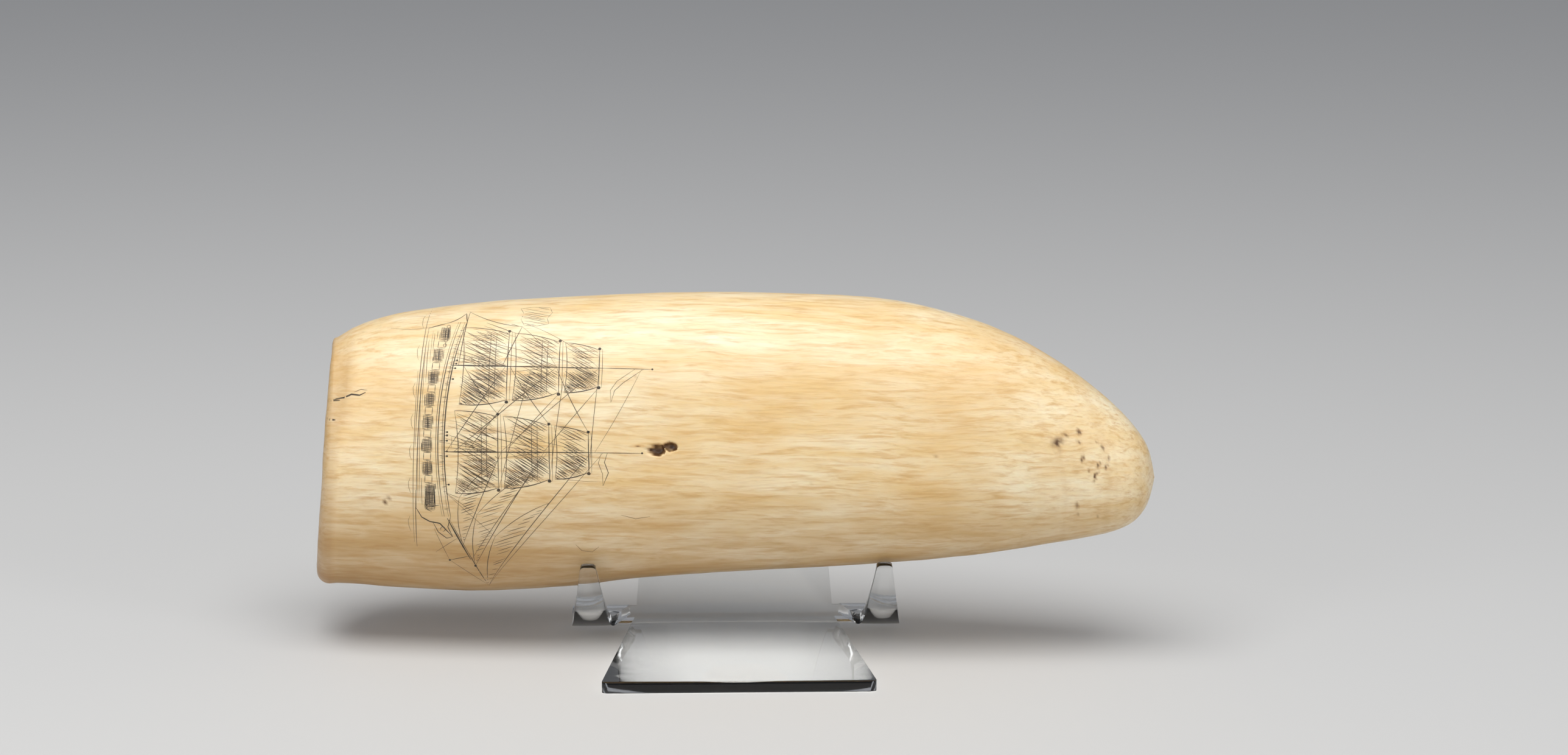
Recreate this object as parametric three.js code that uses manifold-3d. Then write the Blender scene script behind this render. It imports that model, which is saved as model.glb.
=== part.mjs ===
// A scrimshaw sperm whale tooth lying across its clear acrylic cradle. Millimetres, +Z up.
// The origin is the middle of the cradle's flat underside. +X runs along the tooth towards its tip,
// -Y is the engraved side and the open front of the cradle, +Y is the back.
import * as THREE from "three";
import { mergeVertices } from "three/addons/utils/BufferGeometryUtils.js";
import Module from "manifold-3d";

const radians = THREE.MathUtils.degToRad;
const mix = THREE.MathUtils.lerp;

// ---- driving dimensions: tooth ----
// Side outlines in the tooth's own frame, [along, up] from its middle, from the sawn root to the tip.
const UPPER_OUTLINE = [
  [-97, 21], [-89, 24.7], [-78, 27.7], [-60, 30.1], [-37, 31.9], [-13, 33.2],
  [15, 33.3], [33, 32.6], [49, 29.8], [64, 24.9], [79, 16.5], [90.6, 7.2], [97, -0.6],
];
const LOWER_OUTLINE = [
  [-99.5, -37.7], [-90, -37.8], [-75, -38.5], [-58, -38.7], [-40, -37.4], [-20, -34.8],
  [5, -32.6], [34, -30.4], [57, -27.9], [76, -24.6], [91, -21.2], [97, -16.2],
];
const TIP = [99.2, -8.7];
const ROOT_SLANT = 0.17; // how far the sawn root is out of square, towards the back
const DEPTH_AT_ROOT = 0.66; // depth over height of the tooth's section
const DEPTH_AT_MIDDLE = 0.63;
const DEPTH_AT_TIP = 0.84;
const SECTION_POWER = 2.15; // 2 is an ellipse; a little more flattens the two broad faces
const RIM_AT_TOP = 1.2; // rounding of the sawn root's edge
const RIM_AT_BOTTOM = 3.4;
const CAVITY_DEPTH = 44; // conical pulp cavity that opens in the sawn root
const CAVITY_SHARE = 0.56; // its mouth, as a share of the root's section
const ROUND_STEPS = 52; // facets round a section
const LENGTH_STEPS = 44; // facets along an outline
const RIM_STEPS = 4;
const CAVITY_STEPS = 8;

// Two joined hollows of an old boring in the engraved side.
const BORINGS = [
  { at: [-15.8, -5.4], size: [2, 1.6, 1.5] },
  { at: [-13.1, -4.6], size: [1.7, 1.4, 1.3] },
];

// Where the tooth lies: its middle, how far it leans back, and how far its tip swings to the front.
const TOOTH_CENTRE = [0, 19.1, 49.9];
const TOOTH_LEAN = radians(15);
const TOOTH_SWING = radians(6.7);

// ---- driving dimensions: cradle, one bent sheet of acrylic ----
const SHEET = 2.4;
const BASE_DEPTH = 62; // overall, to the back of the fold
const BASE_FRONT = 31.6; // half widths
const BASE_REAR = 24.4;
const BASE_CORNER = 1.6;
const FOLD_BEND = 3.6; // bends are radii of the sheet's mid surface
const BACK_LEAN = radians(20.4);
const BACK_LENGTH = 58;
const BACK_ROOT = 23.6; // half widths
const BACK_TOP = 19;
const BACK_CORNER = 8;
const SHOULDER = 1.6; // height of the full-width stretch of the back, just past the fold
const ARM_HUMP = radians(24); // the arms leave the fold over a small hump, then climb a little
const ARM_RISE = radians(4);
const HUMP_BEND = 4;
const ARM_REACH = 13.2;
const ARM_HEIGHT = 0.4; // where the arms start on the back, past the fold
const HOOK_BEND = 12;
const HOOK_TURN = radians(80);
const TONGUE = 6.4;
const TONGUE_CORNER = 0.8;
const TONGUE_TAPER = 18; // length over which its outer edge draws in
const ARM_OUTER = 38.7; // half spans across both arms
const ARM_INNER = [[0, 24.8], [5, 25.6], [19, 29.2], [31, 31.4], [40, 33.4]];
const TONGUE_OUTER = 36.5;
const BEND_STEPS = 14;

// ---- closed meshes from rings of points ----

// Faces between equal rings of points. Each ring runs anticlockwise about the way the rings follow
// each other. A fan closes each end.
function closedSurface(rings, startPoint, endPoint) {
  const points = [...rings.flat(), startPoint, endPoint];
  const around = rings[0].length;
  const faces = [];
  for (let i = 0; i < around; i++) {
    const next = (i + 1) % around;
    const last = (rings.length - 1) * around;
    faces.push(points.length - 2, next, i);
    faces.push(points.length - 1, last + i, last + next);
    for (let start = 0; start < last; start += around) {
      faces.push(start + i, start + next, start + around + next);
      faces.push(start + i, start + around + next, start + around + i);
    }
  }
  const geometry = new THREE.BufferGeometry().setFromPoints(points);
  geometry.setIndex(faces);
  return geometry;
}

// ---- booleans ----

const wasm = await Module();
wasm.setup();

function toSolid(geometry) {
  const bare = geometry.clone();
  bare.deleteAttribute("normal");
  bare.deleteAttribute("uv");
  const merged = mergeVertices(bare, 1e-4);
  return new wasm.Manifold(new wasm.Mesh({
    numProp: 3,
    vertProperties: new Float32Array(merged.attributes.position.array),
    triVerts: new Uint32Array(merged.index.array),
  }));
}

function toGeometry(solid) {
  const mesh = solid.getMesh();
  const geometry = new THREE.BufferGeometry();
  geometry.setAttribute("position", new THREE.BufferAttribute(mesh.vertProperties, 3));
  geometry.setIndex(new THREE.BufferAttribute(mesh.triVerts, 1));
  geometry.computeVertexNormals();
  return geometry;
}

// ---- tooth ----

const toVectors = (pairs) => pairs.map(([x, z]) => new THREE.Vector2(x, z));
const upperCurve = new THREE.SplineCurve(toVectors([...UPPER_OUTLINE, TIP]));
const lowerCurve = new THREE.SplineCurve(toVectors([...LOWER_OUTLINE, TIP]));

function depthShare(along) {
  const ends = mix(DEPTH_AT_ROOT, DEPTH_AT_TIP, along ** 3);
  return mix(ends, DEPTH_AT_MIDDLE, 4 * along * (1 - along));
}

// A point on the tooth's skin: along runs from the root (0) to the tip (1), and angle goes round the
// section from the back (0) over the top. It can be drawn in, shrunk, or moved along the tooth.
function skinPoint(along, angle, { inset = 0, shrink = 1, shift = 0 } = {}) {
  const top = upperCurve.getPointAt(along);
  const bottom = lowerCurve.getPointAt(along);
  const middle = top.clone().add(bottom).multiplyScalar(0.5);
  const half = top.clone().sub(bottom).multiplyScalar(0.5);
  const soften = (value) => Math.sign(value) * Math.abs(value) ** (2 / SECTION_POWER);
  const up = soften(Math.sin(angle)) * (shrink - inset / half.length());
  const back = soften(Math.cos(angle)) * (shrink * half.length() * depthShare(along) - inset);
  const slant = ROOT_SLANT * (1 - along) ** 5 * back;
  return new THREE.Vector3(middle.x + half.x * up + shift - slant, back, middle.y + half.y * up);
}

function skinRing(along, optionsAt = () => ({})) {
  const angles = Array.from({ length: ROUND_STEPS }, (_, i) => (i / ROUND_STEPS) * 2 * Math.PI);
  return angles.map((angle) => skinPoint(along, angle, optionsAt(angle)));
}

function toothGeometry() {
  const rings = [];
  for (let i = CAVITY_STEPS - 1; i >= 0; i--) {
    const depth = i / CAVITY_STEPS;
    const shrink = CAVITY_SHARE * (1 - depth ** 1.5) ** 0.8;
    rings.push(skinRing(0, () => ({ shrink, shift: 0.4 + CAVITY_DEPTH * depth })));
  }
  for (let i = 0; i <= RIM_STEPS; i++) {
    const turn = (i / RIM_STEPS) * (Math.PI / 2);
    rings.push(skinRing(0, (angle) => {
      const radius = mix(RIM_AT_BOTTOM, RIM_AT_TOP, (1 + Math.sin(angle)) / 2);
      return { inset: radius * (1 - Math.sin(turn)), shift: radius * (1 - Math.cos(turn)) };
    }));
  }
  for (let i = 1; i < LENGTH_STEPS; i++) {
    rings.push(skinRing(1 - (1 - i / LENGTH_STEPS) ** 1.3));
  }
  const rootMiddle = upperCurve.getPointAt(0).add(lowerCurve.getPointAt(0)).multiplyScalar(0.5);
  const cavityEnd = new THREE.Vector3(rootMiddle.x + 0.4 + CAVITY_DEPTH, 0, rootMiddle.y);
  return closedSurface(rings, cavityEnd, new THREE.Vector3(TIP[0], 0, TIP[1]));
}

function boringSolid({ at, size }) {
  const length = TIP[0] - UPPER_OUTLINE[0][0];
  const front = skinPoint((at[0] - UPPER_OUTLINE[0][0]) / length, Math.PI).y;
  const hollow = new THREE.SphereGeometry(1, 14, 10).scale(...size);
  return toSolid(hollow.translate(at[0], front, at[1]));
}

function makeTooth() {
  const borings = BORINGS.map(boringSolid).reduce((joined, next) => joined.add(next));
  const solid = toSolid(toothGeometry()).subtract(borings);
  const ivory = new THREE.MeshStandardMaterial({ color: 0xead2a2, roughness: 0.42 });
  const tooth = new THREE.Mesh(toGeometry(solid), ivory);
  tooth.name = "whale_tooth";
  tooth.position.set(...TOOTH_CENTRE);
  tooth.rotation.set(-TOOTH_LEAN, 0, -TOOTH_SWING, "ZXY");
  return tooth;
}

// ---- cradle ----

// Stations along the mid surface of a bent sheet, in the plane X = 0. Each move is a straight length,
// or a turn on a bend radius, cut into steps. Heading 0 points to the back, a quarter turn points up.
function bentPath(y, z, heading, moves) {
  const stations = [{ y, z, heading, along: 0 }];
  let along = 0;
  for (const { length = 0, turn = 0, radius = 0, steps = 1 } of moves) {
    const bend = turn / steps;
    const chord = turn ? 2 * radius * Math.sin(Math.abs(bend) / 2) : length / steps;
    for (let i = 0; i < steps; i++) {
      y += chord * Math.cos(heading + bend / 2);
      z += chord * Math.sin(heading + bend / 2);
      heading += bend;
      along += chord;
      stations.push({ y, z, heading, along });
    }
  }
  return stations;
}

// The sheet along a path, between two edges given as X positions for each station.
function bentStrip(path, edgesAt) {
  const total = path.at(-1).along;
  const rings = path.map(({ y, z, heading, along }) => {
    const [left, right] = edgesAt(along, total - along);
    const side = new THREE.Vector3(0, -Math.sin(heading), Math.cos(heading)).multiplyScalar(SHEET / 2);
    const corner = (x, sign) => new THREE.Vector3(x, y, z).addScaledVector(side, sign);
    return [corner(left, -1), corner(left, 1), corner(right, 1), corner(right, -1)];
  });
  const centreOf = (ring) => ring[0].clone().add(ring[2]).multiplyScalar(0.5);
  return toSolid(closedSurface(rings, centreOf(rings[0]), centreOf(rings.at(-1))));
}

// How far a rounded corner of the sheet draws an edge in, at a distance from the sheet's end.
function cornerInset(distance, radius) {
  const inside = Math.max(radius - distance, 0);
  return radius - Math.sqrt(radius ** 2 - inside ** 2);
}

// A value read off a list of [position, value] pairs.
function interpolate(pairs, position) {
  const after = Math.max(1, pairs.findIndex(([at]) => at >= position));
  const [[x0, y0], [x1, y1]] = [pairs[after - 1], pairs[after]];
  return mix(y0, y1, THREE.MathUtils.clamp((position - x0) / (x1 - x0), 0, 1));
}

const FOLD_TURN = Math.PI / 2 - BACK_LEAN;
const foldStart = [BASE_DEPTH / 2 - SHEET / 2 - FOLD_BEND, SHEET / 2];
const foldEnd = [
  foldStart[0] + FOLD_BEND * Math.sin(FOLD_TURN),
  foldStart[1] + FOLD_BEND * (1 - Math.cos(FOLD_TURN)),
];
const onBack = (length) => [
  foldEnd[0] + length * Math.cos(FOLD_TURN),
  foldEnd[1] + length * Math.sin(FOLD_TURN),
];

function centreStrip() {
  const flat = foldStart[0] + BASE_DEPTH / 2;
  const path = bentPath(-BASE_DEPTH / 2, SHEET / 2, 0, [
    { length: BASE_CORNER, steps: 4 },
    { length: flat - BASE_CORNER },
    { turn: FOLD_TURN, radius: FOLD_BEND, steps: BEND_STEPS },
    { length: BACK_LENGTH - BACK_CORNER },
    { length: BACK_CORNER, steps: 8 },
  ]);
  const fold = FOLD_BEND * FOLD_TURN;
  const top = flat + fold + BACK_LENGTH;
  const widths = [[0, BASE_FRONT], [flat, BASE_REAR], [flat + fold, BACK_ROOT], [top, BACK_TOP]];
  return bentStrip(path, (fromFront, fromTop) => {
    const corner = cornerInset(fromFront, BASE_CORNER) + cornerInset(fromTop, BACK_CORNER);
    const half = interpolate(widths, fromFront) - corner;
    return [-half, half];
  });
}

// The full-width stretch, from half way round the fold to a little way up the back.
function shoulders() {
  const middle = FOLD_TURN / 2;
  const y = foldStart[0] + FOLD_BEND * Math.sin(middle);
  const z = foldStart[1] + FOLD_BEND * (1 - Math.cos(middle));
  const path = bentPath(y, z, middle, [
    { turn: middle, radius: FOLD_BEND, steps: BEND_STEPS },
    { length: SHOULDER },
  ]);
  return bentStrip(path, () => [-ARM_OUTER, ARM_OUTER]);
}

// One arm: over a hump and forward from the shoulders, then a hook that ends in an upright tongue.
function arm(side) {
  const path = bentPath(...onBack(ARM_HEIGHT), Math.PI - ARM_HUMP, [
    { length: 1.5 },
    { turn: ARM_HUMP - ARM_RISE, radius: HUMP_BEND, steps: 4 },
    { length: ARM_REACH, steps: 3 },
    { turn: ARM_RISE - HOOK_TURN, radius: HOOK_BEND, steps: 2 * BEND_STEPS },
    { length: TONGUE - TONGUE_CORNER },
    { length: TONGUE_CORNER, steps: 5 },
  ]);
  return bentStrip(path, (fromRoot, fromTop) => {
    const corner = cornerInset(fromTop, TONGUE_CORNER);
    const inner = interpolate(ARM_INNER, fromRoot) + corner;
    const taper = THREE.MathUtils.clamp(1 - fromTop / TONGUE_TAPER, 0, 1);
    const outer = mix(ARM_OUTER, TONGUE_OUTER, taper) - corner;
    return side > 0 ? [inner, outer] : [-outer, -inner];
  });
}

function makeCradle() {
  const solid = centreStrip().add(shoulders()).add(arm(1)).add(arm(-1));
  const acrylic = new THREE.MeshStandardMaterial({
    color: 0xdfe6ea,
    roughness: 0.06,
    transparent: true,
    opacity: 0.35,
  });
  const cradle = new THREE.Mesh(toGeometry(solid), acrylic);
  cradle.name = "display_stand";
  return cradle;
}

const ornament = new THREE.Group();
ornament.add(makeTooth(), makeCradle());

export default ornament;
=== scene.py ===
"""Looks for the scrimshaw whale tooth: engraved ivory lying across a clear acrylic cradle."""
import math
import random

import bpy
import numpy as np
from mathutils import Matrix, Vector
from mathutils.bvhtree import BVHTree


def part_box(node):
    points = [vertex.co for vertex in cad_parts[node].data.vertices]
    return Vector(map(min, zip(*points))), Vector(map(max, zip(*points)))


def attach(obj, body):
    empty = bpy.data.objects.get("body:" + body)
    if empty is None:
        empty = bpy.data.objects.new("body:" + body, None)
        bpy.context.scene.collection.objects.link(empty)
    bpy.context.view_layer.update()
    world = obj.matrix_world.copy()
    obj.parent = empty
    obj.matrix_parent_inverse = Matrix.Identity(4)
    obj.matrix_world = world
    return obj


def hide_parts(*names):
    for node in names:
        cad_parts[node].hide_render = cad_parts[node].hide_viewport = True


MM = 0.001
rng = random.Random(11)

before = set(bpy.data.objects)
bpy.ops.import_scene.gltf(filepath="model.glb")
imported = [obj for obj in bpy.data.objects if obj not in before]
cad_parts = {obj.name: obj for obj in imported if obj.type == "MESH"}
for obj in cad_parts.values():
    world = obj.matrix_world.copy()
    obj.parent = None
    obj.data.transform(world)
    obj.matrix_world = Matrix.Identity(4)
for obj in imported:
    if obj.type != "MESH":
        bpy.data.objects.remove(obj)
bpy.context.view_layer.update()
stand_low, stand_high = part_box("display_stand")

# ---- the tooth's named sizes, as in the part's source, in millimetres ----
UPPER = [(-97, 21), (-89, 24.7), (-78, 27.7), (-60, 30.1), (-37, 31.9), (-13, 33.2),
         (15, 33.3), (33, 32.6), (49, 29.8), (64, 24.9), (79, 16.5), (90.6, 7.2), (97, -0.6)]
LOWER = [(-99.5, -37.7), (-90, -37.8), (-75, -38.5), (-58, -38.7), (-40, -37.4), (-20, -34.8),
         (5, -32.6), (34, -30.4), (57, -27.9), (76, -24.6), (91, -21.2), (97, -16.2)]
TIP = (99.2, -8.7)
ROOT_SLANT = 0.17
DEPTH_ROOT, DEPTH_MIDDLE, DEPTH_TIP = 0.66, 0.63, 0.84
POWER = 2.15
RIM_TOP, RIM_BOTTOM = 1.2, 3.4
CAVITY_RINGS, FACE_RINGS, RIM_RINGS = 23, 6, 8
CAVITY_DEPTH, CAVITY_SHARE = 44, 0.56
CENTRE = Vector((0, 19.1, 49.9)) * MM
LEAN, SWING = math.radians(15), math.radians(6.7)
PLACE = (Matrix.Translation(CENTRE) @ Matrix.Rotation(-SWING, 4, "Z") @ Matrix.Rotation(-LEAN, 4, "X"))


def lerp(a, b, t):
    return a + (b - a) * t


def smooth(edge0, edge1, x):
    t = np.clip((x - edge0) / (edge1 - edge0), 0, 1)
    return t * t * (3 - 2 * t)


# ---- smooth value noise, seeded, for shapes ----

def make_noise(seed, period=64):
    table = np.random.default_rng(seed).uniform(-1, 1, (period, period))

    def noise(x, y):
        xi, yi = np.floor(x).astype(int), np.floor(y).astype(int)
        fx, fy = x - xi, y - yi
        fx, fy = fx * fx * (3 - 2 * fx), fy * fy * (3 - 2 * fy)
        at = lambda i, j: table[(xi + i) % period, (yi + j) % period]
        return lerp(lerp(at(0, 0), at(1, 0), fx), lerp(at(0, 1), at(1, 1), fx), fy)
    return noise


noise_a, noise_b, noise_c = make_noise(1), make_noise(2), make_noise(3)


# ---- tooth surface ----

def outline(points):
    """A Catmull-Rom curve through the stations, as points at equal shares of its length."""
    p = np.array(points, float)
    n = len(p)
    t = np.linspace(0, 1, 201) * (n - 1)
    i = np.minimum(np.floor(t).astype(int), n - 1)
    w = (t - i)[:, None]
    p0, p1 = p[np.maximum(i - 1, 0)], p[i]
    p2, p3 = p[np.minimum(i + 1, n - 1)], p[np.minimum(i + 2, n - 1)]
    v0, v1 = (p2 - p0) / 2, (p3 - p1) / 2
    c = (2 * p1 - 2 * p2 + v0 + v1) * w ** 3 + (-3 * p1 + 3 * p2 - 2 * v0 - v1) * w ** 2 + v0 * w + p1
    length = np.concatenate([[0], np.cumsum(np.linalg.norm(np.diff(c, axis=0), axis=1))])
    return c, length / length[-1]


UP_CURVE, UP_SHARE = outline(UPPER + [TIP])
LOW_CURVE, LOW_SHARE = outline(LOWER + [TIP])


def curve_at(curve, share, a):
    return np.stack([np.interp(a, share, curve[:, k]) for k in (0, 1)], -1)


def skin(a, angle, inset=0.0, shrink=1.0, shift=0.0):
    """Points of the tooth's skin in its own frame: a from root to tip, angle round from the back."""
    top, bottom = curve_at(UP_CURVE, UP_SHARE, a), curve_at(LOW_CURVE, LOW_SHARE, a)
    middle, half = (top + bottom) / 2, (top - bottom) / 2
    height = np.linalg.norm(half, axis=-1)
    depth = lerp(lerp(DEPTH_ROOT, DEPTH_TIP, a ** 3), DEPTH_MIDDLE, 4 * a * (1 - a))
    s, c = np.sin(angle), np.cos(angle)
    up = np.sign(s) * np.abs(s) ** (2 / POWER) * (shrink - inset / height)
    back = np.sign(c) * np.abs(c) ** (2 / POWER) * (shrink * height * depth - inset)
    slant = ROOT_SLANT * (1 - a) ** 5 * back
    return np.stack([middle[..., 0] + half[..., 0] * up + shift - slant, back,
                     middle[..., 1] + half[..., 1] * up], -1)


def spaced(low, high, steps):
    """Stations from low to high whose spacing follows steps(position)."""
    x, out = low, [low]
    while x < high:
        x += steps(x)
        out.append(x)
    out = np.array(out)
    return low + (out - low) * (high - low) / (out[-1] - low)


BORING = [((-15.9, -5.5), (1.95, 1.5), 2.0), ((-12.9, -4.6), (1.65, 1.25), 1.6)]


def boring_depth(x, z):
    """Depth of the old boring's two joined hollows, with a ragged rim."""
    depth = np.zeros_like(x)
    for (cx, cz), (rx, rz), deep in BORING:
        ragged = 1 + 0.16 * noise_a(x * 1.9, z * 1.9 + 7)
        r = np.sqrt(((x - cx) / rx) ** 2 + ((z - cz) / rz) ** 2) / ragged
        depth = np.maximum(depth, deep * np.clip(1 - r ** 3, 0, 1) ** 0.6)
    return depth


def tooth_mesh():
    length = TIP[0] - UPPER[0][0]
    where = lambda x: (x - UPPER[0][0]) / length

    def along_step(a):
        """Rings stand closest at the boring and the tip, and close at the root rim and the tip spots."""
        x = lerp(UPPER[0][0], TIP[0], a)
        if -20 < x < -10:
            return where(UPPER[0][0] + 0.24)
        if x > 92:
            return where(UPPER[0][0] + 0.28)
        if x > 72 or x < -88:
            return where(UPPER[0][0] + 0.5)
        return where(UPPER[0][0] + 0.95)

    def round_step(t):
        return 0.0065 if math.pi + 0.03 < t < math.pi + 0.25 else 0.031

    angles = spaced(0, 2 * math.pi, round_step)[:-1]
    stations = spaced(0.025, 0.9985, along_step)
    stations = np.concatenate([stations, 1 - (1 - stations[-1]) * np.array([0.45, 0.12])])
    rings, stain = [], []

    def add(points, dark):
        """Keeps one ring of points and how stained each is."""
        rings.append(points)
        stain.append(np.broadcast_to(dark, points.shape[:1]).copy())

    wave = 0.28 * (1 + noise_b(angles * 2.4, angles * 0 + 3)) + 0.1 * (1 + noise_c(angles * 7, angles * 0))
    rim = lerp(RIM_BOTTOM, RIM_TOP, (1 + np.sin(angles)) / 2)
    # the cavity, from its end out to the mouth, then the sawn face and the rounded rim
    for i in range(CAVITY_RINGS - 1, -1, -1):
        deep = i / CAVITY_RINGS
        shrink = CAVITY_SHARE * (1 - deep ** 1.5) ** 0.8
        ring = skin(0.0, angles, 0, shrink, 0.4 + CAVITY_DEPTH * deep)
        ring[:, 0] += wave
        add(ring, 0.55 + 0.3 * deep)
    for i in range(FACE_RINGS):
        share = lerp(CAVITY_SHARE, 0.9, i / FACE_RINGS) + 0.02 * (i > 0)
        ring = skin(0.0, angles, 0, share, 0.0)
        ring[:, 0] += wave + 0.12 * (1 + noise_a(angles * 5, angles * 0 + i))
        if i:
            add(ring, 0.42 + 0.1 * noise_a(angles * 3, angles * 0 + i))
    for i in range(RIM_RINGS + 1):
        turn = i / RIM_RINGS * math.pi / 2
        ring = skin(0.0, angles, rim * (1 - math.sin(turn)), 1.0, rim * (1 - math.cos(turn)))
        ring[:, 0] += wave * (1 - 0.5 * i / RIM_RINGS)
        add(ring, 0.36 - 0.02 * i)
    for a in stations:
        ring = skin(np.full_like(angles, a), angles)
        ring[:, 0] += wave * 0.5 * max(0, 1 - (a - 0.016) / 0.03)
        x, y, z = ring.T
        inward = ring - np.stack([x, np.zeros_like(y), np.full_like(z, z.mean())], -1)
        inward /= np.linalg.norm(inward, axis=1, keepdims=True) + 1e-9
        dip = 0.10 * (1 + noise_a(x / 9 + 20, angles * 2.2)) + 0.05 * (1 + noise_b(x / 3.5, angles * 6))
        dip *= 1 - smooth(0.93, 0.99, a)
        front = smooth(2.0, -4.0, y)
        hole = boring_depth(x, z) * front
        ring = ring - inward * dip[:, None]
        ring[:, 1] += hole
        dark = paint_stain(x, z, angles) * front + back_stain(x, angles) * (1 - front)
        add(ring, np.maximum(dark, 0.62 * np.clip(hole, 0, 1) * (1 + 0.4 * noise_b(x * 1.5, z * 1.5))))
    around = len(angles)
    middle = skin(np.array(0.0), np.array([math.pi / 2, -math.pi / 2])).mean(0)
    apex = (middle[0] + 0.6 + CAVITY_DEPTH, 0, middle[2])
    verts = np.concatenate(rings + [[apex], [(TIP[0] - 0.02, 0, TIP[1])]]) * MM
    level = np.concatenate(stain + [[0.85], [0.05]])
    index = np.arange(len(rings) * around).reshape(len(rings), around)
    nxt = np.roll(index, -1, axis=1)
    quads = np.stack([index[:-1], nxt[:-1], nxt[1:], index[1:]], -1).reshape(-1, 4).tolist()
    last = len(verts) - 1
    caps = [(last - 1, nxt[0, k], index[0, k]) for k in range(around)]
    caps += [(last, index[-1, k], nxt[-1, k]) for k in range(around)]
    mesh = bpy.data.meshes.new("ivory_tooth")
    mesh.from_pydata(verts.tolist(), [], quads + [tuple(int(v) for v in c) for c in caps])
    mesh.attributes.new("stain", "FLOAT", "POINT").data.foreach_set("value", level.astype(np.float32))
    # the tooth's own coordinates travel with the skin, so the ivory's grain follows its length
    local = mesh.attributes.new("local", "FLOAT_VECTOR", "POINT")
    local.data.foreach_set("vector", verts.ravel().astype(np.float32))
    for polygon in mesh.polygons:
        polygon.use_smooth = True
    mesh.validate()
    return mesh


# Small natural marks on the engraved side: [along, up], half sizes, turn in degrees, strength.
MARKS = [
    ((76.6, -1.6), (2.2, 1.2), 35, 0.75), ((78.4, 0.2), (1.1, 0.8), 0, 0.6),
    ((77.2, -3.4), (1.6, 0.5), 60, 0.4), ((81.6, 1.0), (0.6, 0.8), 0, 0.8),
    ((81.8, -1.3), (0.6, 0.8), 20, 0.65), ((82.4, -5.4), (0.5, 1.1), -20, 0.75),
    ((85.8, -1.2), (0.5, 0.5), 0, 0.6), ((87.0, -2.4), (0.5, 0.9), 30, 0.6),
    ((86.2, -6.6), (0.5, 1.3), -25, 0.8), ((88.0, -7.2), (0.5, 1.0), -20, 0.7),
    ((88.6, -4.9), (0.4, 0.8), -10, 0.5), ((85.6, -9.4), (0.4, 1.7), -28, 0.75),
    ((84.0, -8.0), (0.4, 0.8), -20, 0.45), ((81.4, -16.2), (0.4, 0.9), -15, 0.5),
    ((81.6, -18.2), (0.5, 0.6), 0, 0.45), ((86.4, -18.6), (0.4, 0.5), 0, 0.4),
    ((48.6, -5.4), (0.5, 0.5), 0, 0.7), ((44.0, -9.0), (0.35, 0.35), 0, 0.35),
    ((-92.3, 0.0), (1.1, 0.8), 0, 0.85), ((-93.2, -1.8), (0.5, 1.4), 0, 0.5),
    ((-79.8, -18.6), (0.5, 0.5), 0, 0.7), ((-78.6, -18.0), (0.35, 0.3), 0, 0.5),
    ((-82.0, 1.2), (0.35, 0.35), 0, 0.6), ((-76.6, 7.6), (0.35, 0.3), 0, 0.5),
    ((-20.4, -4.6), (0.45, 0.35), 0, 0.75), ((-18.0, 0.7), (0.35, 0.3), 0, 0.6),
    ((-21.0, 12.2), (0.6, 0.35), 30, 0.5), ((20.0, -12.6), (0.3, 0.3), 0, 0.3),
    ((60.0, 11.0), (0.3, 0.3), 0, 0.3), ((70.0, -8.0), (0.3, 0.3), 0, 0.35),
]


def paint_stain(x, z, angles):
    stain = np.zeros_like(x)
    wobble_x = x + 0.35 * noise_b(x * 1.1, z * 1.1)
    wobble_z = z + 0.35 * noise_c(x * 1.1, z * 1.1)
    for (cx, cz), (rx, rz), turn, strength in MARKS:
        c, s = math.cos(math.radians(turn)), math.sin(math.radians(turn))
        u, v = (wobble_x - cx) * c + (wobble_z - cz) * s, (wobble_z - cz) * c - (wobble_x - cx) * s
        stain = np.maximum(stain, strength * np.exp(-1.9 * ((u / rx) ** 2 + (v / rz) ** 2)))
    edge = smooth(-91.5, -97.5, x) * (0.22 + 0.3 * np.clip(noise_a(x / 5, z / 7), 0, 1))
    crack_side = np.exp(-(((x + 94.5) / 5) ** 2 + ((z - 9) / 11) ** 2)) * 0.5
    return np.clip(stain + edge + crack_side, 0, 1)


def back_stain(x, angles):
    return smooth(-90, -98, x) * (0.15 + 0.25 * np.clip(noise_a(x / 4, angles * 2), 0, 1))


# ---- materials ----

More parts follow.
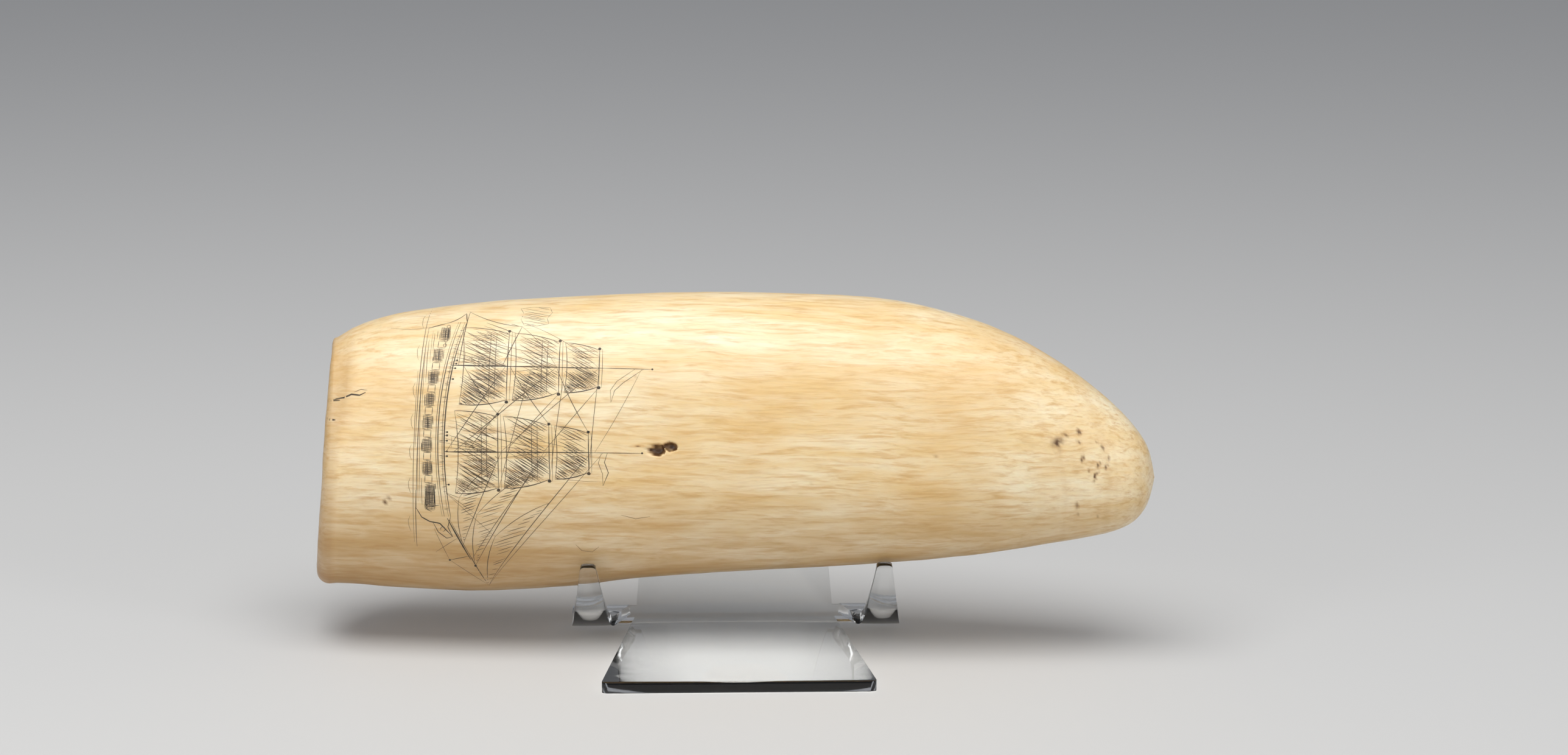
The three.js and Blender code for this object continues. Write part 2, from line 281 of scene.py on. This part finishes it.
class Nodes:
    """A short way to write a node tree."""

    def __init__(self, name):
        self.material = bpy.data.materials.new(name)
        self.material.use_nodes = True
        self.tree = self.material.node_tree
        self.shader = next(n for n in self.tree.nodes if n.type == "BSDF_PRINCIPLED")

    def add(self, kind, inputs=(), **settings):
        node = self.tree.nodes.new(kind)
        for key, value in settings.items():
            setattr(node, key, value)
        for key, value in dict(inputs).items():
            if isinstance(value, bpy.types.NodeSocket):
                self.tree.links.new(value, node.inputs[key])
            else:
                node.inputs[key].default_value = value
        return node

    def set(self, **values):
        for key, value in values.items():
            socket = self.shader.inputs[key.replace("_", " ")]
            if isinstance(value, bpy.types.NodeSocket):
                self.tree.links.new(value, socket)
            else:
                socket.default_value = value

    def mapped(self, vector, scale):
        return self.add("ShaderNodeMapping", {"Vector": vector, "Scale": scale}).outputs[0]

    def noise(self, vector, scale, detail=3.0, roughness=0.55, distortion=0.0):
        node = self.add("ShaderNodeTexNoise", {"Vector": vector, "Scale": scale, "Detail": detail,
                                               "Roughness": roughness, "Distortion": distortion})
        return node.outputs["Fac"]

    def ramp(self, value, stops):
        node = self.add("ShaderNodeValToRGB", {"Fac": value})
        elements = node.color_ramp.elements
        while len(elements) < len(stops):
            elements.new(0.5)
        for element, (position, colour) in zip(elements, stops):
            element.position = position
            element.color = (*colour, 1) if isinstance(colour, tuple) else (colour, colour, colour, 1)
        return node.outputs[0]

    def mix(self, factor, a, b, blend="MIX"):
        node = self.add("ShaderNodeMix", data_type="RGBA", blend_type=blend)
        for socket, value in zip((node.inputs[0], node.inputs[6], node.inputs[7]), (factor, a, b)):
            if isinstance(value, bpy.types.NodeSocket):
                self.tree.links.new(value, socket)
            else:
                socket.default_value = (*value, 1) if isinstance(value, tuple) else value
        return node.outputs[2]

    def maths(self, operation, a, b=0.0):
        return self.add("ShaderNodeMath", {0: a, 1: b}, operation=operation).outputs[0]

    def bump(self, height, strength, distance, normal=None):
        inputs = {"Height": height, "Strength": strength, "Distance": distance}
        if normal is not None:
            inputs["Normal"] = normal
        return self.add("ShaderNodeBump", inputs).outputs[0]


def rgb(r, g, b):
    """A linear colour from screen values of 0 to 255."""
    return tuple(((v / 255 + 0.055) / 1.055) ** 2.4 if v > 10 else v / 3294.6 for v in (r, g, b))


def ivory_material():
    n = Nodes("ivory_polished")
    here = n.add("ShaderNodeAttribute", attribute_name="local").outputs["Vector"]
    split = n.add("ShaderNodeSeparateXYZ", {0: here})
    warp = n.noise(here, 28.0, 2.0)
    shift = n.add("ShaderNodeVectorMath", {0: warp, 1: (0.0, 0.0035, 0.0035)}, operation="MULTIPLY").outputs[0]
    warped = n.add("ShaderNodeVectorMath", {0: here, 1: shift}, operation="ADD").outputs[0]
    broad = n.noise(n.mapped(warped, (30, 170, 240)), 1.0, 4.0, 0.6, 0.25)
    streak = n.noise(n.mapped(warped, (100, 720, 980)), 1.0, 4.0, 0.6, 0.4)
    fibre = n.noise(n.mapped(warped, (150, 1500, 1900)), 1.0, 3.0, 0.6)
    cloud = n.noise(here, 26.0, 3.0, 0.55)
    base = n.mix(n.ramp(broad, [(0.36, 0.0), (0.66, 1.0)]), rgb(250, 234, 198), rgb(238, 208, 152))
    base = n.mix(n.ramp(streak, [(0.48, 0.0), (0.70, 0.62)]), base, rgb(206, 158, 88))
    base = n.mix(n.ramp(cloud, [(0.44, 0.0), (0.70, 0.5)]), base, rgb(228, 184, 112))
    base = n.mix(n.ramp(fibre, [(0.50, 0.0), (0.78, 0.28)]), base, rgb(188, 140, 78))
    # arcs of growth lines round the tip
    tip = n.add("ShaderNodeVectorMath", {0: here, 1: (0.056, 0.0, -0.010)}, operation="SUBTRACT").outputs[0]
    reach = n.add("ShaderNodeVectorMath", {0: tip}, operation="LENGTH").outputs["Value"]
    spread = n.add("ShaderNodeCombineXYZ", {0: n.maths("MULTIPLY", reach, 330.0), 1: split.outputs[2]}).outputs[0]
    rings = n.noise(spread, 1.0, 2.0, 0.6)
    near_tip = n.add("ShaderNodeMapRange", {"Value": split.outputs[0], "From Min": 0.045, "From Max": 0.085,
                                            "To Min": 0.0, "To Max": 0.2}).outputs[0]
    arcs = n.maths("MULTIPLY", n.ramp(rings, [(0.48, 0.0), (0.68, 1.0)]), near_tip)
    base = n.mix(arcs, base, rgb(206, 162, 98))
    # darker and browner towards the underside, partly the ivory's own patina and partly painted shade where less
    # light falls; browner towards the back as well
    low = n.add("ShaderNodeMapRange", {"Value": split.outputs[2], "From Min": -0.012, "From Max": -0.036,
                                       "To Min": 0.0, "To Max": 0.9}).outputs[0]
    low = n.maths("MULTIPLY", low, n.ramp(broad, [(0.3, 0.55), (0.65, 1.0)]))
    base = n.mix(low, base, rgb(176, 132, 74))
    behind = n.add("ShaderNodeMapRange", {"Value": split.outputs[1], "From Min": 0.0, "From Max": 0.02,
                                          "To Min": 0.0, "To Max": 0.35}).outputs[0]
    base = n.mix(behind, base, rgb(206, 166, 104))
    stain = n.add("ShaderNodeAttribute", attribute_name="stain").outputs["Fac"]
    brown = n.ramp(stain, [(0.0, rgb(190, 140, 80)), (0.45, rgb(120, 84, 48)), (1.0, rgb(44, 30, 20))])
    base = n.mix(n.ramp(stain, [(0.04, 0.0), (0.62, 1.0)]), base, brown)
    n.set(Base_Color=base, IOR=1.54, Subsurface_Weight=0.22, Subsurface_Radius=(1.0, 0.62, 0.3),
          Subsurface_Scale=0.0022, Coat_Weight=0.22, Coat_Roughness=0.2)
    rough = n.add("ShaderNodeMapRange", {"Value": broad, "From Min": 0.3, "From Max": 0.7,
                                         "To Min": 0.36, "To Max": 0.5}).outputs[0]
    n.set(Roughness=rough)
    fine = n.mapped(here, (500, 900, 900))
    pores = n.add("ShaderNodeTexVoronoi", {"Vector": fine, "Scale": 1.0}).outputs["Distance"]
    normal = n.bump(fibre, 0.22, 0.00012)
    normal = n.bump(streak, 0.25, 0.0003, normal)
    normal = n.bump(n.ramp(pores, [(0.0, 0.0), (0.12, 1.0)]), 0.12, 0.00008, normal)
    n.set(Normal=normal)
    return n.material


def ink_material():
    n = Nodes("engraving_ink")
    level = n.add("ShaderNodeAttribute", attribute_name="ink").outputs["Fac"]
    here = n.add("ShaderNodeTexCoord").outputs["Object"]
    worn = n.noise(here, 900.0, 2.0)
    level = n.maths("MULTIPLY", level, n.ramp(worn, [(0.3, 0.72), (0.6, 1.0)]))
    colour = n.ramp(level, [(0.0, rgb(188, 150, 96)), (0.5, rgb(106, 88, 62)), (1.0, rgb(44, 39, 32))])
    n.set(Base_Color=colour, Roughness=0.55)
    n.set(Normal=n.bump(worn, 0.2, 0.00003))
    return n.material


def acrylic_material():
    n = Nodes("acrylic_clear")
    here = n.add("ShaderNodeTexCoord").outputs["Object"]
    scuff = n.noise(n.mapped(here, (120, 900, 120)), 1.0, 4.0, 0.7)
    n.set(Base_Color=(0.965, 0.975, 0.975, 1), IOR=1.49, Transmission_Weight=1.0)
    n.set(Roughness=n.add("ShaderNodeMapRange", {"Value": scuff, "From Min": 0.45, "From Max": 0.75,
                                                 "To Min": 0.015, "To Max": 0.09}).outputs[0])
    n.set(Normal=n.bump(n.noise(here, 60.0, 2.0), 0.06, 0.0005))
    return n.material


# ---- engraving: strokes in the ship's own plan, h from stern to bow and v up from the waterline ----

WATERLINE, STERN = -72.0, 24.2
INK_SPREAD, INK_STRENGTH = 1.36, 1.2
strokes = []


def on_tooth(point):
    h, v = point
    return WATERLINE + v - 0.018 * h, STERN - h


# Each stroke is (points along and up the tooth, width in mm, strength of ink, tapered ends).

def stroke(points, width=0.16, ink=0.8, taper=True):
    strokes.append(([on_tooth(p) for p in points], width, ink, taper))


def bow_line(a, b, bulge=0.0, steps=None):
    """Points from a to b, bowed sideways by a share of the distance."""
    a, b = np.array(a, float), np.array(b, float)
    reach = np.linalg.norm(b - a)
    steps = steps or max(2, int(reach / 1.2))
    side = np.array([-(b - a)[1], (b - a)[0]])
    return [tuple(lerp(a, b, t) + side * bulge * 4 * t * (1 - t)) for t in np.linspace(0, 1, steps + 1)]


def draw(a, b, width=0.16, ink=0.8, bulge=0.0):
    stroke(bow_line(a, b, bulge), width, ink)


def dot(at, radius=0.28, ink=1.0):
    strokes.append(([on_tooth((at[0] - radius, at[1])), on_tooth(at), on_tooth((at[0] + radius, at[1]))],
                    radius * 2, ink, False))


def hatch(polygon, angle, spacing, width=0.09, ink=0.55, keep=1.0, wander=0.0, trim=0.3):
    """Parallel strokes clipped to a polygon, uneven as a hand leaves them."""
    c, s = math.cos(math.radians(angle)), math.sin(math.radians(angle))
    turned = [(x * c + y * s, y * c - x * s) for x, y in polygon]
    low, high = min(p[1] for p in turned), max(p[1] for p in turned)
    level = low + spacing * rng.uniform(0.3, 0.9)
    while level < high:
        cuts = []
        for (x0, y0), (x1, y1) in zip(turned, turned[1:] + turned[:1]):
            if (y0 > level) != (y1 > level):
                cuts.append(lerp(x0, x1, (level - y0) / (y1 - y0)))
        cuts.sort()
        for left, right in zip(cuts[::2], cuts[1::2]):
            reach = right - left
            if reach > 0.5 and rng.random() < keep:
                a, b = left + reach * rng.uniform(0, trim), right - reach * rng.uniform(0, trim)
                tilt = rng.uniform(-wander, wander)
                ends = [(a, level - tilt), (b, level + tilt)]
                back = [(x * c - y * s, x * s + y * c) for x, y in ends]
                stroke(bow_line(*back, bulge=rng.uniform(-0.012, 0.012)), width * rng.uniform(0.7, 1.35),
                       min(1, ink * rng.uniform(0.6, 1.4)))
        level += spacing * rng.uniform(0.6, 1.4)


def closed(points, width=0.16, ink=0.8):
    for a, b in zip(points, points[1:] + points[:1]):
        stroke(bow_line(a, b), width, ink)


def ship_hull():
    rail = lambda h: 6.6 + 0.0045 * (h - 25) ** 2
    wale = lambda h: rail(h) - 1.5
    keel = lambda h: 0.4 + 0.00016 * (h - 24) ** 2
    span = np.linspace(0, 46, 40)
    for offset, width, ink in ((0, 0.2, 0.9), (-0.5, 0.1, 0.6), (-1.5, 0.16, 0.8), (-2.0, 0.1, 0.55)):
        stroke([(h, rail(h) + offset) for h in span], width, ink)
    stroke([(h, keel(h)) for h in np.linspace(1.5, 44, 36)], 0.14, 0.75)
    draw((-3.5, -0.25), (30, -0.15), 0.12, 0.6)
    draw((12, -0.7), (52, -0.2), 0.1, 0.5)
    draw((40, 0.2), (53, 0.4), 0.12, 0.55)
    # stern post, counter and a row of little cabin windows
    draw((0, rail(0)), (-2.2, rail(0) - 0.6), 0.16, 0.8)
    draw((-2.2, rail(0) - 0.6), (0.4, 4.4), 0.16, 0.8, 0.08)
    draw((0.4, 4.4), (1.6, 0.4), 0.18, 0.85)
    for k in range(5):
        ring = [(1.2 + k * 1.15 + 0.38 * math.cos(t), 5.2 - 0.05 * k + 0.42 * math.sin(t))
                for t in np.linspace(0, 2 * math.pi, 9)]
        stroke(ring, 0.09, 0.65, False)
    # stem, head and cutwater
    stroke([(44, 0.3), (46.2, 1.7), (47.2, 3.6), (47.6, 6.0), (49.6, 8.0), (50.6, 9.0)], 0.2, 0.85)
    stroke([(46, rail(46)), (48.4, 7.9), (50.6, 9.0)], 0.14, 0.75)
    stroke([(47.4, 4.4), (49.6, 5.6), (51.0, 7.6), (50.6, 9.0)], 0.14, 0.7)
    ring = [(48.9 + 0.55 * math.cos(t), 6.7 + 0.55 * math.sin(t)) for t in np.linspace(0, 5.2, 9)]
    stroke(ring, 0.1, 0.7, False)
    # gun ports in a dark band
    ports = [5.6 + 5.3 * k for k in range(7)]

    for h in ports:
        base = wale(h) - 3.4
        closed([(h - 0.85, base), (h + 0.85, base), (h + 0.85, base + 1.7), (h - 0.85, base + 1.7)], 0.12, 0.85)
    for left, right in zip([1.4] + [h + 1.0 for h in ports], [h - 1.0 for h in ports] + [44.6]):
        a, b = wale((left + right) / 2) - 3.9, wale((left + right) / 2) - 1.3
        block = [(left, a), (right, a), (right, b), (left, b)]
        hatch(block, 4, 0.28, 0.12, 0.8, trim=0.12)
        hatch(block, 84, 0.34, 0.1, 0.75, trim=0.15)
    lower = [(1.6, 0.6)] + [(h, keel(h) + 0.1) for h in (12, 24, 36)] + [(44.5, 0.7), (45.6, 1.5)]
    lower += [(h, wale(h) - 4.1) for h in (44, 36, 24, 12, 2)]
    hatch(lower, 2, 0.5, 0.08, 0.45, 0.85)
    # deck band with short upright marks and dots for the crew at the rail
    for k in range(60):
        h = rng.uniform(1, 45)
        draw((h, rail(h) - 0.1), (h + rng.uniform(-0.2, 0.2), rail(h) - rng.uniform(0.8, 1.4)), 0.07, 0.5)
    for h in (9.4, 10.2, 11.3, 13.9, 26.4, 27.2, 28.4, 30.9, 32.0, 38.6):
        dot((h, rail(h) + 0.65), 0.2, 0.9)
        draw((h, rail(h)), (h, rail(h) + 0.5), 0.1, 0.7)


def ship_mast(h, scale, rake, tops):
    """A mast of three spars with its three square sails; tops holds the yards' heights."""
    lean = lambda v: h + rake * (v - 7)
    draw((lean(7), 7), (lean(tops[0] + 1.5), tops[0] + 1.5), 0.26, 0.75)
    draw((lean(tops[0] - 1), tops[0] - 1), (lean(tops[1] + 1.5), tops[1] + 1.5), 0.2, 0.75)
    draw((lean(tops[1] - 1), tops[1] - 1), (lean(tops[2] + 1.5), tops[2] + 1.5), 0.16, 0.75)
    draw((lean(tops[2]), tops[2]), (lean(tops[2] + 12.5), tops[2] + 12.5), 0.11, 0.75)
    dot((lean(tops[2] + 12.5), tops[2] + 12.5), 0.2, 0.9)
    spans = [9.6 * scale, 8.4 * scale, 6.2 * scale, 4.5 * scale]
    foot = 9.2
    yards = []
    for k, top in enumerate(tops):
        head, bottom = spans[k + 1] if k else spans[0] * 0.86, spans[k] if k else spans[0]
        slope = 0.05
        at = lambda side, span, v: (lean(v) + side * span, v + side * span * slope)
        left_head, right_head = at(-1, head, top), at(1, head, top)
        left_foot, right_foot = at(-1, bottom, foot), at(1, bottom, foot)
        left = bow_line(left_foot, left_head, 0.035, 8)
        right = bow_line(right_foot, right_head, -0.055, 8)
        base = bow_line(left_foot, right_foot, 0.045, 8)
        for edge, width, ink in ((left, 0.13, 0.75), (right, 0.16, 0.85), (base, 0.12, 0.7)):
            stroke(edge, width, ink)
        # the yard is two lines close together with a block at each end
        yard_left, yard_right = at(-1, head * 1.07, top), at(1, head * 1.07, top)
        draw(yard_left, yard_right, 0.15, 0.85)
        draw((yard_left[0], yard_left[1] + 0.65), (yard_right[0], yard_right[1] + 0.65), 0.09, 0.6, 0.01)
        dot(yard_left, 0.3)
        dot(yard_right, 0.34)
        yards.append((yard_left, yard_right))
        panel = left + right[::-1] + base[::-1][1:-1]
        hatch(panel, 62, 0.62, 0.10, 0.62, 0.96, 0.10)
        hatch(panel, 68, 0.95, 0.085, 0.5, 0.8, 0.14, 0.45)
        inner = [(lerp(p[0], q[0], 0.45), lerp(p[1], q[1], 0.45)) for p, q in zip(right, left)]
        lee = right + inner[::-1]
        hatch(lee, 58, 0.42, 0.11, 0.75, 0.9, 0.08, 0.2)
        hatch(panel, 92, 1.5, 0.07, 0.4, 0.7, 0.1, 0.4)
        # reef bands
        for share in ((0.62, 0.74) if k < 2 else ()):
            a = tuple(lerp(np.array(left[0]), np.array(left[-1]), share))
            b = tuple(lerp(np.array(right[0]), np.array(right[-1]), share))
            a, b = (lerp(a[0], b[0], 0.02), a[1]), (lerp(b[0], a[0], 0.02), b[1])
            draw(a, b, 0.1, 0.65)
        foot = top + 1.3
    return lean, yards


def ship():
    ship_hull()
    aft, aft_yards = ship_mast(10.6, 0.96, 0.004, (20.4, 32.6, 42.0))
    fore, fore_yards = ship_mast(31.0, 1.0, -0.012, (19.4, 31.4, 40.6))
    # stays between the masts and down to the bowsprit
    draw((aft(42), 42), (fore(20), 20), 0.1, 0.65)
    draw((aft(32), 32), (fore(9), 9), 0.12, 0.7)
    draw((aft(20), 20), (fore(7), 7.2), 0.12, 0.75)
    draw((aft(52), 52), (fore(42), 42), 0.07, 0.5, 0.02)
    # braces from the yard ends cross between the masts
    for k in range(3):
        draw(aft_yards[k][1], (fore(12 + 9 * k), 12 + 9 * k), 0.1, 0.6)
        draw(fore_yards[k][0], (aft(10 + 11 * k), 10 + 11 * k), 0.12, 0.7, 0.02)
        draw(fore_yards[k][1], (aft(26 + 8 * k) + 1.5, 26 + 8 * k), 0.1, 0.6)
    # shrouds and backstays
    for mast, top, scale in ((aft, 20.4, 1), (fore, 19.4, 1)):
        for k in range(4):
            draw((mast(7) - 1.0 - k * 1.05, 7.0), (mast(top), top), 0.09, 0.6)
        for k in range(6):
            v = 8.4 + 1.7 * k
            reach = (top - v) / (top - 7)
            draw((mast(v) - 4.15 * reach, v), (mast(v) - 1.0 * reach, v), 0.06, 0.45)
        draw((mast(7) - 6.0, 7.4), (mast(32), 32), 0.09, 0.6)
        draw((mast(7) - 7.4, 7.6), (mast(41), 41), 0.07, 0.5)
        for k in range(3):
            draw((mast(top + 11.0), top + 11.0), (mast(top) - 1.4 + 1.4 * k, top + 0.6), 0.07, 0.5)
    # pennants and trucks at the mastheads
    stroke([(aft(52.5), 52.5), (aft(50) + 3.4, 47.8), (aft(49) + 5.2, 46.0), (aft(48) + 8.0, 45.3)], 0.09, 0.6)
    stroke([(aft(50.5), 50.5), (aft(48) + 3.0, 46.4), (aft(46) + 5.2, 45.0), (aft(45) + 8.0, 45.3)], 0.08, 0.5)
    stroke([(fore(45), 45), (fore(45) + 2.2, 44.4), (fore(44) + 4.6, 45.4), (fore(43) + 7.6, 44.2)], 0.12, 0.7)
    stroke([(fore(43.6), 43.6), (fore(43) + 2.4, 43.0), (fore(43) + 4.8, 44.0), (fore(43) + 7.6, 44.2)], 0.08, 0.5)
    # gaff sail over the stern, with its boom and the ensign's halyard
    gaff = [(aft(19), 19.2), (1.0, 22.8)]
    boom = [(aft(8.6), 8.8), (-2.6, 9.6)]
    draw(*gaff, 0.14, 0.75)
    draw(*boom, 0.14, 0.75)
    draw(gaff[1], boom[1], 0.12, 0.7, 0.05)
    sail = [gaff[0], gaff[1], boom[1], boom[0]]
    hatch(sail, 72, 0.7, 0.09, 0.5, 0.85, 0.12, 0.4)
    draw((aft(32), 32), gaff[1], 0.08, 0.5, -0.05)
    draw((aft(42), 42), (0.2, 23.4), 0.07, 0.45, -0.05)
    # an ensign streaming from the gaff: a wavy outline filled with plain hatching
    ensign = [(0.6, 23.2), (-0.8, 22.2), (-2.4, 22.6), (-3.6, 21.6), (-4.0, 24.6), (-3.9, 28.6),
              (-2.6, 29.4), (-1.2, 28.4), (0.2, 29.0), (0.8, 26.0)]
    closed(ensign, 0.08, 0.5)
    hatch(ensign, 80, 0.6, 0.09, 0.6, 0.95, 0.08, 0.15)
    # bowsprit, jib boom, dolphin striker, stays and three jibs
    draw((46.4, 7.8), (55.8, 13.0), 0.24, 0.8)
    draw((53.6, 12.2), (61.6, 16.4), 0.14, 0.75)
    draw((46.8, 8.4), (55.8, 13.4), 0.1, 0.6)
    draw((55.0, 12.8), (56.0, 8.0), 0.11, 0.7)
    draw((56.0, 8.0), (61.4, 16.2), 0.08, 0.55)
    draw((56.0, 8.0), (48.8, 4.6), 0.08, 0.55)
    draw((51.0, 10.0), (54.2, 4.8), 0.08, 0.5)
    dot((56.0, 8.0), 0.2, 0.8)
    dot((57.2, 14.0), 0.24, 0.9)
    heads = [(fore(20), 20.2), (fore(30), 30.2), (fore(41), 41.2)]
    tacks = [(52.4, 11.4), (57.2, 14.0), (61.6, 16.4)]
    clews = [(41.6, 10.6), (45.4, 14.8), (50.4, 19.0)]
    for head, tack, clew, share in zip(heads, tacks, clews, (0.9, 0.82, 0.62)):
        draw(head, tack, 0.12, 0.75)
        peak = tuple(lerp(np.array(tack), np.array(head), share))
        draw(peak, clew, 0.1, 0.65, -0.05)
        draw(clew, tack, 0.11, 0.7, -0.06)
        hatch([peak, clew, tack], 108, 0.6, 0.09, 0.6, 0.9, 0.08, 0.35)
        draw(clew, (40.5, 7.4), 0.07, 0.45)
    draw((fore(44), 44), (61.6, 16.4), 0.09, 0.6, 0.01)
    draw((fore(31), 31), (55.8, 13.2), 0.1, 0.65)
    # anchor at the bow
    draw((43.4, 6.0), (43.9, 3.0), 0.12, 0.8)
    stroke([(42.7, 3.9), (43.3, 2.9), (43.9, 2.8), (44.5, 3.1), (44.9, 4.1)], 0.12, 0.8)
    # a few curls of sea under the hull
    for k in range(7):
        h = -2 + 8 * k + rng.uniform(-1, 1)
        stroke([(h, -1.1), (h + 1.2, -1.5), (h + 2.6, -1.3), (h + 3.6, -0.9)], 0.08, 0.35)


def natural_lines():
    """Fine age cracks at the root and a few hairlines, as dark narrow cuts."""
    for line, width, ink in (
        ([(-92.6, 5.3), (-90.4, 5.6), (-88.6, 6.4), (-86.6, 6.2), (-85.2, 6.9)], 0.3, 0.75),
        ([(-94.8, 4.6), (-93.0, 5.0), (-91.4, 5.0)], 0.35, 0.6),
        ([(-95.0, 1.0), (-93.6, 0.4), (-92.2, 0.3)], 0.35, 0.8),
        ([(-88.0, 6.9), (-86.4, 7.6), (-84.8, 7.4)], 0.12, 0.4),
        ([(-81.0, 22.6), (-76.0, 22.2), (-71.0, 22.8)], 0.08, 0.25),
        ([(-35.2, -27.6), (-33.8, -29.0), (-31.4, -29.2), (-29.8, -28.0)], 0.12, 0.25),
        ([(-24.4, -20.6), (-21.0, -21.4), (-17.6, -20.8)], 0.1, 0.25),
        ([(-39.0, -12.6), (-33.0, -13.0), (-29.0, -13.1)], 0.07, 0.2),
    ):
        strokes.append((line, width, ink, True))


def densify(points, step=0.9):
    out = [np.array(points[0], float)]
    for a, b in zip(points, points[1:]):
        a, b = np.array(a, float), np.array(b, float)
        count = max(1, int(np.ceil(np.linalg.norm(b - a) / step)))
        out += [lerp(a, b, k / count) for k in range(1, count + 1)]
    return np.array(out)


def engraving_mesh(tooth):
    """Each cut is a narrow closed wedge of ink, flush with the skin and sunk into it."""
    tree = BVHTree.FromPolygons([v.co for v in tooth.vertices], [tuple(p.vertices) for p in tooth.polygons])
    verts, faces, inks = [], [], []
    for points, width, ink, taper in strokes:
        path = densify(points)
        hits = [tree.ray_cast(Vector((x * MM, -0.08, z * MM)), Vector((0, 1, 0))) for x, z in path]
        run = [(h[0], h[1]) for h in hits if h[0] is not None and h[1].y < -0.12]
        if len(run) < 2:
            continue
        start = len(verts)
        for k, (at, normal) in enumerate(run):
            ahead, behind = run[min(k + 1, len(run) - 1)][0], run[max(k - 1, 0)][0]
            tangent = ahead - behind
            if tangent.length < 1e-7:
                tangent = Vector((1, 0, 0))
            side = normal.cross(tangent).normalized()
            t = k / (len(run) - 1)
            if taper:
                wide = width * (0.35 + 0.65 * min(1, 3.2 * min(t + 0.02, 1.02 - t)))
            else:
                wide = width * (1.0 if 0 < k < len(run) - 1 else 0.5)
            half = wide * MM * INK_SPREAD / 2
            verts += [at + side * half + normal * 9e-6, at - side * half + normal * 9e-6, at - normal * 7e-5]
            inks += [min(1, ink * INK_STRENGTH)] * 3
        for k in range(len(run) - 1):
            a, b = start + 3 * k, start + 3 * k + 3
            for i, j in ((0, 1), (1, 2), (2, 0)):
                faces.append((a + i, b + i, b + j, a + j))
        end = len(verts) - 3
        faces += [(start, start + 1, start + 2), (end + 2, end + 1, end)]
    mesh = bpy.data.meshes.new("engraving")
    mesh.from_pydata([tuple(v) for v in verts], [], faces)
    mesh.attributes.new("ink", "FLOAT", "POINT").data.foreach_set("value", np.array(inks, np.float32))
    mesh.validate()
    return mesh


def link(name, mesh, material):
    obj = bpy.data.objects.new(name, mesh)
    bpy.context.scene.collection.objects.link(obj)
    mesh.materials.clear()
    mesh.materials.append(material)
    return obj


# ---- build ----

tooth_data = tooth_mesh()
ivory = link("ivory_tooth", tooth_data, ivory_material())
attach(ivory, "root")
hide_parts("whale_tooth")

ship()
natural_lines()
engraving = link("engraving", engraving_mesh(tooth_data), ink_material())
for made in (tooth_data, engraving.data):
    made.transform(PLACE)
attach(engraving, "root")


def polished_cradle():
    """The bent sheet with its edges eased, and its bends smooth."""
    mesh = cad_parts["display_stand"].data.copy()
    mesh.name = "acrylic_cradle"
    obj = link("acrylic_cradle", mesh, acrylic_material())
    weld = obj.modifiers.new("weld", "WELD")
    weld.merge_threshold = 1e-6
    bevel = obj.modifiers.new("edges", "BEVEL")
    bevel.width, bevel.segments, bevel.limit_method = 0.00018, 2, "ANGLE"
    bevel.angle_limit = math.radians(40)
    bpy.context.view_layer.update()
    done = bpy.data.meshes.new_from_object(obj.evaluated_get(bpy.context.evaluated_depsgraph_get()))
    obj.modifiers.clear()
    obj.data = done
    for polygon in done.polygons:
        polygon.use_smooth = True
    done.set_sharp_from_angle(angle=math.radians(28))
    return obj


cradle = polished_cradle()
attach(cradle, "root")
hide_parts("display_stand")
cradle.visible_shadow = False   # clear sheet lets the light through to the floor

# ---- stage ----

floor_mesh = bpy.data.meshes.new("floor")
reach = 6.0
corners = [(-reach, -reach, 0), (reach, -reach, 0), (reach, reach, 0), (-reach, reach, 0)]
floor_mesh.from_pydata(corners, [], [(0, 1, 2, 3)])
paper = Nodes("floor_paper")
paper.set(Base_Color=(0.62, 0.62, 0.615, 1), Roughness=0.75)
floor = link("floor", floor_mesh, paper.material)
floor.location.z = stand_low.z - 0.0002


def area_light(name, position, target, size, power, colour=(1, 1, 1)):
    data = bpy.data.lights.new(name, "AREA")
    data.shape = "RECTANGLE"
    data.size, data.size_y = size
    data.energy = power
    data.color = colour
    obj = bpy.data.objects.new(name, data)
    bpy.context.scene.collection.objects.link(obj)
    obj.location = position
    obj.rotation_euler = (Vector(target) - Vector(position)).to_track_quat("-Z", "Y").to_euler()
    return obj


middle = (0, 0.015, 0.05)
area_light("soft_top", (-0.1, -0.3, 1.0), middle, (1.1, 0.8), 10.5, (1, 0.985, 0.96))
area_light("soft_left", (-0.9, -0.9, 0.55), middle, (0.5, 0.7), 2.4)
area_light("soft_right", (0.95, -0.85, 0.5), middle, (0.4, 0.6), 2.2)

world = bpy.data.worlds.new("studio")
world.use_nodes = True
world.node_tree.nodes["Background"].inputs[0].default_value = (0.9, 0.93, 1.0, 1)
world.node_tree.nodes["Background"].inputs[1].default_value = 0.3
bpy.context.scene.world = world

# ---- camera: looks a little down on the engraved side, from just left of square ----

camera_data = bpy.data.cameras.new("camera")
camera_data.sensor_width = 36
camera_data.lens = 107.6
camera = bpy.data.objects.new("camera", camera_data)
bpy.context.scene.collection.objects.link(camera)
CAMERA_TURN, CAMERA_DIP = math.radians(-1.7), math.radians(11.5)
camera.matrix_world = (Matrix.Rotation(CAMERA_TURN, 4, "Z") @ Matrix.Translation((0.0111, -1.0648, 0.2837))
                       @ Matrix.Rotation(math.pi / 2 - CAMERA_DIP, 4, "X"))
camera_data.clip_start = 0.05
bpy.context.scene.camera = camera
bpy.context.scene.view_settings.view_transform = "Standard"
